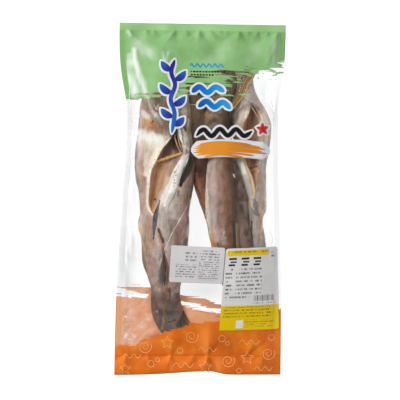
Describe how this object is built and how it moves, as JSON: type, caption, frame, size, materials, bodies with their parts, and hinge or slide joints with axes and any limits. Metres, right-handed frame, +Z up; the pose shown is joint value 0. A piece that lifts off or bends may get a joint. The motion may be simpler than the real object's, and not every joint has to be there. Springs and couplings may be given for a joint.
{
  "type": "clear pouch of half-dried pollock",
  "caption": "Sealed clear film pouch of whole half-dried fish lying on its back, with a green printed top, an orange printed bottom and paper labels on the front.",
  "frame": {"origin": "on the surface the pouch lies on, below the middle of its box", "axes": "+Z up through the front film, +Y along the pouch towards the green printed top seal, +X to the right seen from above"},
  "size_m": [0.2076, 0.44, 0.0516],
  "materials": {
    "pouch_film": "gloss",
    "label_large_paper": "satin",
    "label_small_paper": "satin"
  },
  "bodies": {
    "root": {"pouch": "pouch_film", "label_large": "label_large_paper", "label_small": "label_small_paper"}
  },
  "joints": []
}
